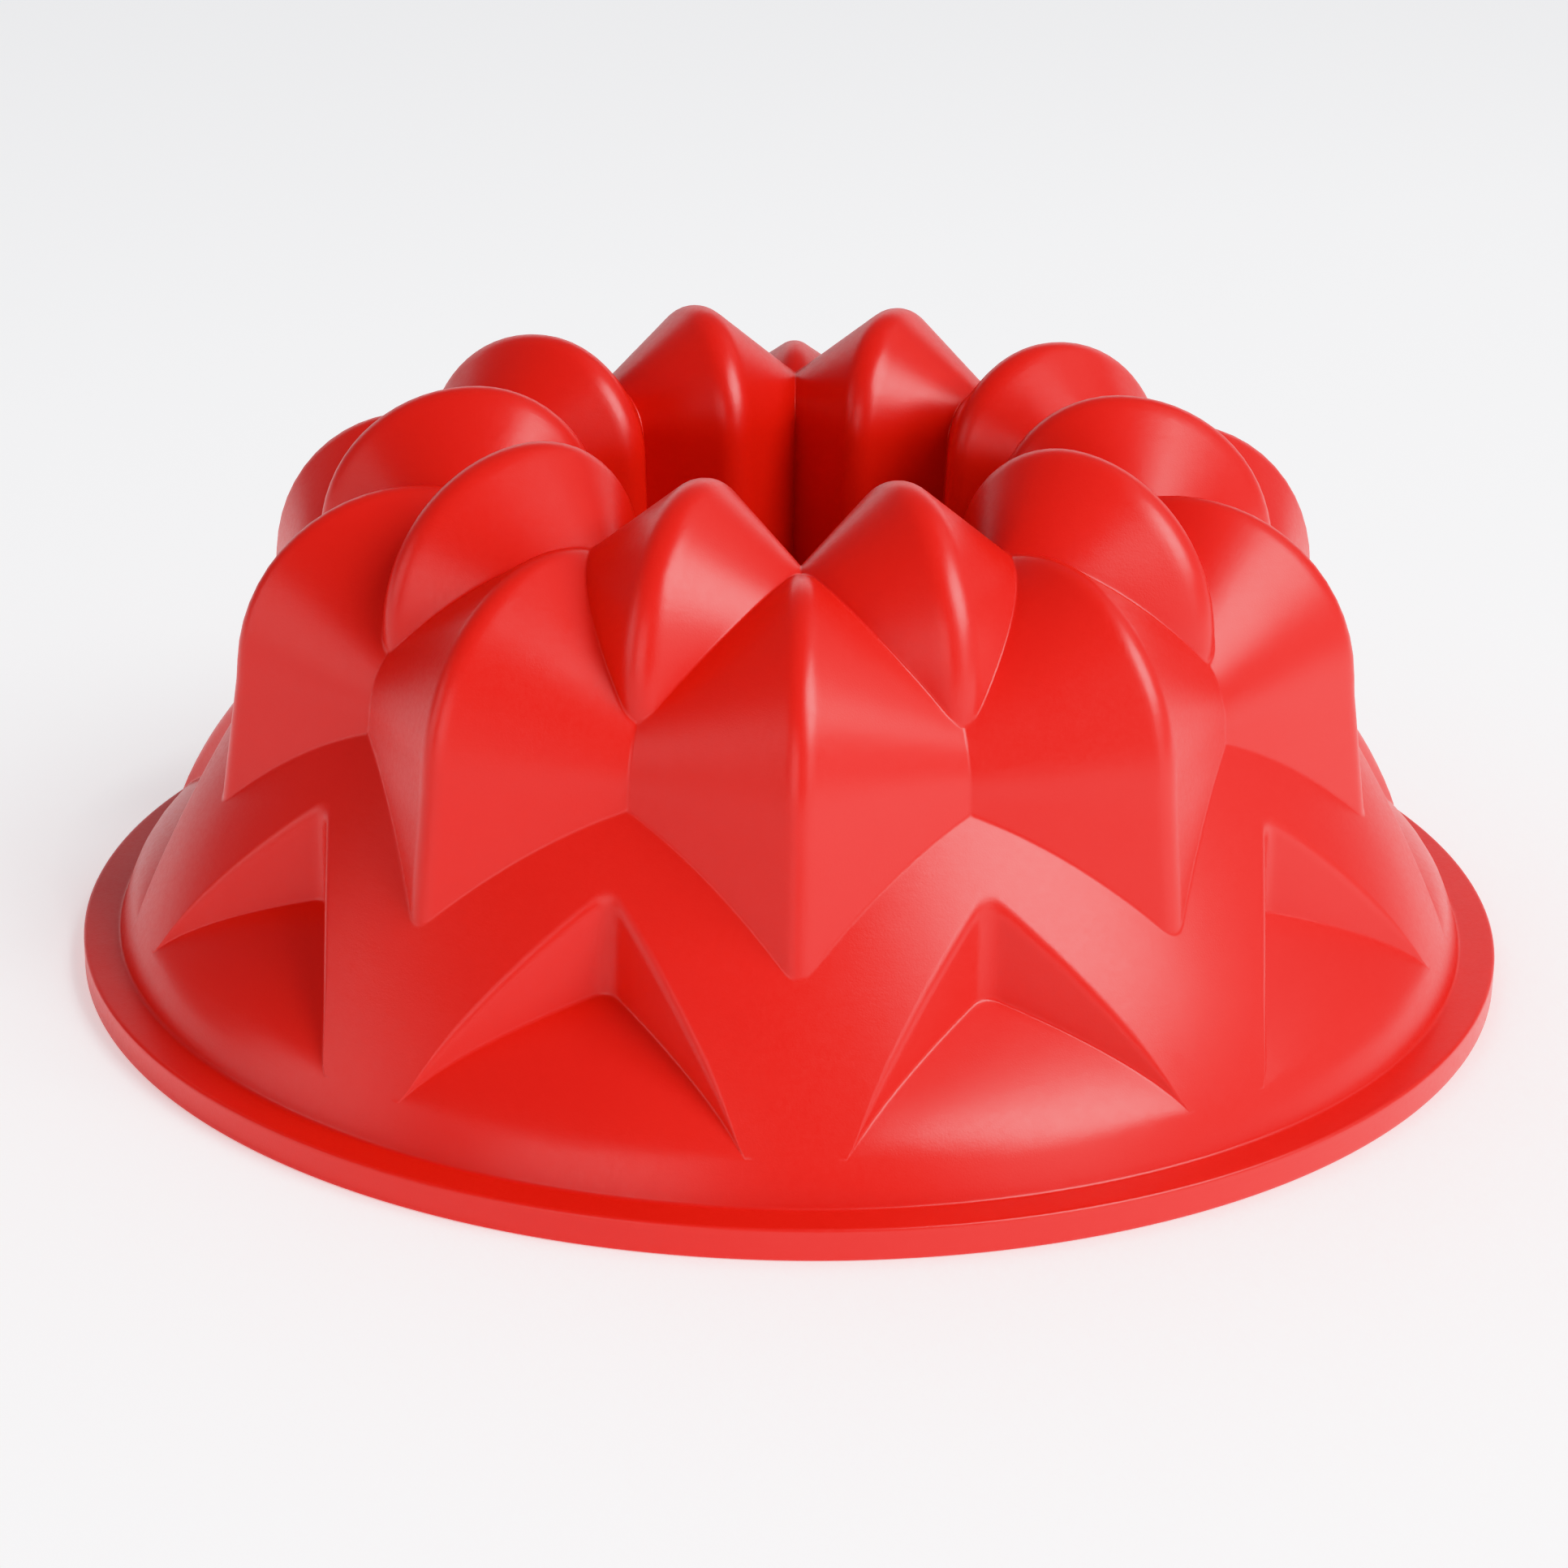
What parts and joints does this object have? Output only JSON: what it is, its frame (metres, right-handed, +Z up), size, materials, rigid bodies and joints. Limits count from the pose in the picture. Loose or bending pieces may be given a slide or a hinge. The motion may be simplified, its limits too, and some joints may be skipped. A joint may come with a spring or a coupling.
{
  "type": "bundt pan",
  "caption": "Flexible ring cake mould in silicone, with two tiers of pointed arched petals, notched skirt, open centre tube and a square rim bead.",
  "frame": {"origin": "centre of the plane that the rim rests on, on the axis of the centre tube", "axes": "+Z up along the axis of the centre tube, out of the closed petal crown, with the cavity opening towards -Z; -Y runs through the ridge of one middle petal"},
  "size_m": [0.26, 0.26, 0.1036],
  "materials": {
    "red_silicone": "satin moulded silicone",
    "steel_wire": "drawn stainless wire"
  },
  "bodies": {
    "root": {"silicone_pan": "red_silicone", "rim_ring": "steel_wire"}
  },
  "joints": []
}
